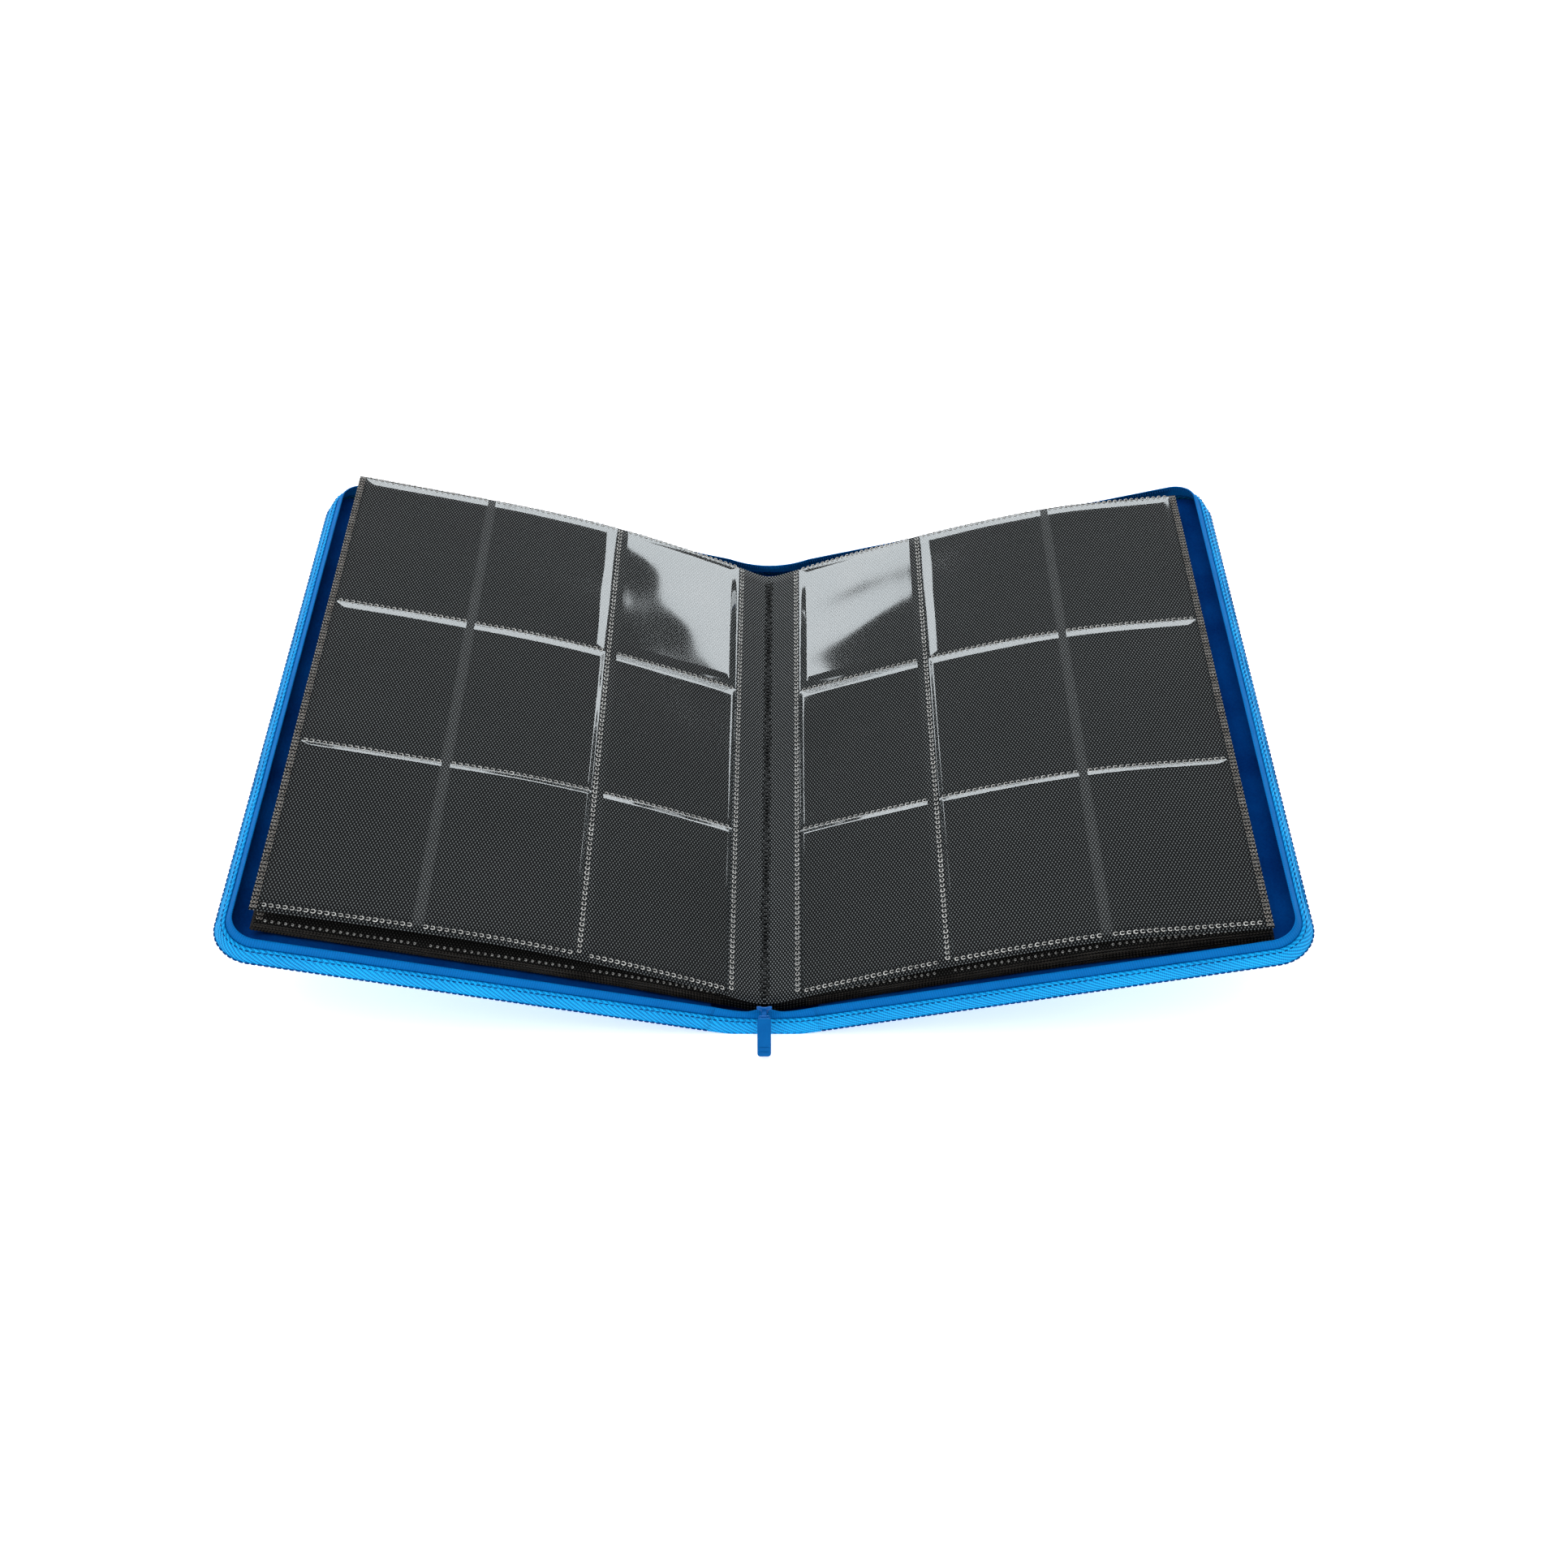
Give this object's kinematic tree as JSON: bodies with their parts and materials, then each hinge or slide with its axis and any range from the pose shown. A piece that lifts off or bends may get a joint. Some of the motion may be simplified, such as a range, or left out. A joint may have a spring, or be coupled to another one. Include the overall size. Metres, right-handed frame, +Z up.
{
  "type": "card binder",
  "caption": "Zip-round card binder lying open: two boarded fabric covers on a soft spine, side-loading pocket leaves sewn at the middle, slider with pull tab.",
  "frame": {"origin": "middle of the spine's flat underside", "axes": "+X towards the right-hand cover, +Y towards the head of the pages, +Z up, out of the open pages"},
  "size_m": [0.4984, 0.335, 0.0872],
  "materials": {
    "case_fabric": "bright blue diagonal twill",
    "cover_board": "plain greyboard, hidden inside the covers",
    "velvet_lining": "short blue velvet nap",
    "zip_tape": "fine woven blue zip tape",
    "zip_coil": "blue nylon zip coil",
    "binding_cloth": "black binding cloth",
    "seam_thread": "black sewing thread",
    "leaf_sheet": "charcoal sheet with a fine dot weave",
    "pocket_film": "clear glossy pocket film",
    "slider_metal": "blue enamelled zip slider",
    "pull_tab": "blue moulded pull tab"
  },
  "bodies": {
    "spine": {"spine_skin": "case_fabric", "spine_board": "cover_board", "spine_lining": "velvet_lining", "binding_tape": "binding_cloth", "binding_fold": "binding_cloth", "zigzag_seam": "seam_thread", "zip_slider": "slider_metal", "gutter_l": "leaf_sheet", "hinge_skin_l": "case_fabric", "hinge_lining_l": "velvet_lining", "tail_gusset_l": "case_fabric", "head_gusset_l": "case_fabric", "tail_zip_tape_l": "zip_tape", "head_zip_tape_l": "zip_tape", "gutter_r": "leaf_sheet", "hinge_skin_r": "case_fabric", "hinge_lining_r": "velvet_lining", "tail_gusset_r": "case_fabric", "head_gusset_r": "case_fabric", "tail_zip_tape_r": "zip_tape", "head_zip_tape_r": "zip_tape"},
    "left_cover": {"cover_skin_l": "case_fabric", "cover_board_l": "cover_board", "cover_lining_l": "velvet_lining", "gusset_wall_l": "case_fabric", "zip_tape_l": "zip_tape", "zip_coil_l": "zip_coil", "leaf_l01": "leaf_sheet", "leaf_l02": "leaf_sheet", "leaf_l03": "leaf_sheet", "leaf_l04": "leaf_sheet", "leaf_l05": "leaf_sheet", "leaf_l06": "leaf_sheet", "leaf_l07": "leaf_sheet", "leaf_l08": "leaf_sheet", "leaf_l09": "leaf_sheet"},
    "right_cover": {"cover_skin_r": "case_fabric", "cover_board_r": "cover_board", "cover_lining_r": "velvet_lining", "gusset_wall_r": "case_fabric", "zip_tape_r": "zip_tape", "zip_coil_r": "zip_coil", "leaf_r01": "leaf_sheet", "leaf_r02": "leaf_sheet", "leaf_r03": "leaf_sheet", "leaf_r04": "leaf_sheet", "leaf_r05": "leaf_sheet", "leaf_r06": "leaf_sheet", "leaf_r07": "leaf_sheet", "leaf_r08": "leaf_sheet", "leaf_r09": "leaf_sheet", "leaf_r10": "leaf_sheet", "film_r_outer": "pocket_film", "film_r_middle": "pocket_film", "film_r_inner": "pocket_film"},
    "turning_leaf": {"leaf_l10": "leaf_sheet", "film_l_outer": "pocket_film", "film_l_middle": "pocket_film", "film_l_inner": "pocket_film"},
    "pull_tab": {"pull_tab": "pull_tab"}
  },
  "joints": [
    {"name": "left_cover_hinge", "type": "hinge", "parent": "spine", "child": "left_cover", "pos_m": [-0.018, 0, 0.0012], "axis": [0, -1, 0], "range_deg": [-75, 15], "deforming": ["gutter_l", "hinge_skin_l", "hinge_lining_l", "tail_gusset_l", "head_gusset_l", "tail_zip_tape_l", "head_zip_tape_l", "leaf_l10", "film_l_outer", "film_l_middle", "film_l_inner"]},
    {"name": "right_cover_hinge", "type": "hinge", "parent": "spine", "child": "right_cover", "pos_m": [0.018, 0, 0.0012], "axis": [0, 1, 0], "range_deg": [-75, 15], "deforming": ["gutter_r", "hinge_skin_r", "hinge_lining_r", "tail_gusset_r", "head_gusset_r", "tail_zip_tape_r", "head_zip_tape_r", "leaf_r10", "film_r_outer", "film_r_middle", "film_r_inner"]},
    {"name": "leaf_turn", "type": "hinge", "parent": "left_cover", "child": "turning_leaf", "pos_m": [-0.017, 0, 0.0196], "axis": [0, 1, 0], "range_deg": [0, 130], "deforming": ["leaf_l10", "film_l_outer", "film_l_middle", "film_l_inner"]},
    {"name": "pull_tab_hinge", "type": "hinge", "parent": "spine", "child": "pull_tab", "pos_m": [0, -0.1637, 0.0165], "axis": [1, 0, 0], "range_deg": [-135, 35]}
  ]
}
